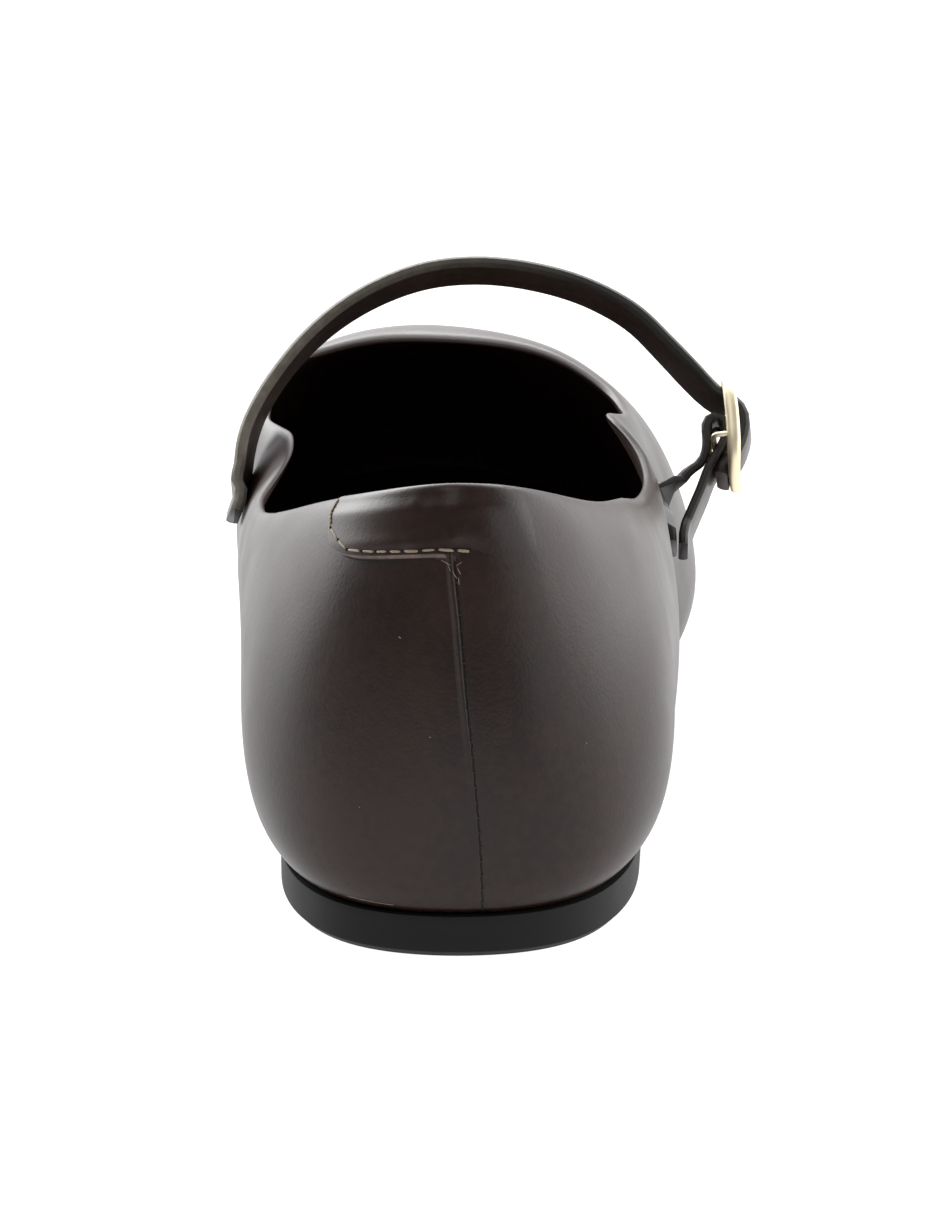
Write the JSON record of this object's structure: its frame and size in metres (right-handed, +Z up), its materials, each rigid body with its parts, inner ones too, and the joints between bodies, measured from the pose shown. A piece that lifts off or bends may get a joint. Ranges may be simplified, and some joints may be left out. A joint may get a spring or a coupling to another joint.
{
  "type": "ballet flat",
  "caption": "Right-foot Mary Jane ballet flat: lasted leather upper on a low rubber sole, with a slim instep strap and an oval buckle on a folded tab.",
  "frame": {"origin": "under the middle of the whole shoe, on the ground it stands on", "axes": "+Z up, +Y towards the toe, +X towards the outer side of the foot, where the buckle is"},
  "size_m": [0.089, 0.2426, 0.075],
  "materials": {
    "leather": "dark brown smooth leather, half gloss",
    "rubber": "matte black moulded rubber",
    "lining": "dark lining leather",
    "buckle_metal": "polished pale gold plating"
  },
  "bodies": {
    "root": {"outsole": "rubber", "upper": "leather", "insole": "lining", "strap": "leather", "buckle_tab": "leather", "buckle_frame": "buckle_metal", "buckle_prong": "buckle_metal"}
  },
  "joints": []
}
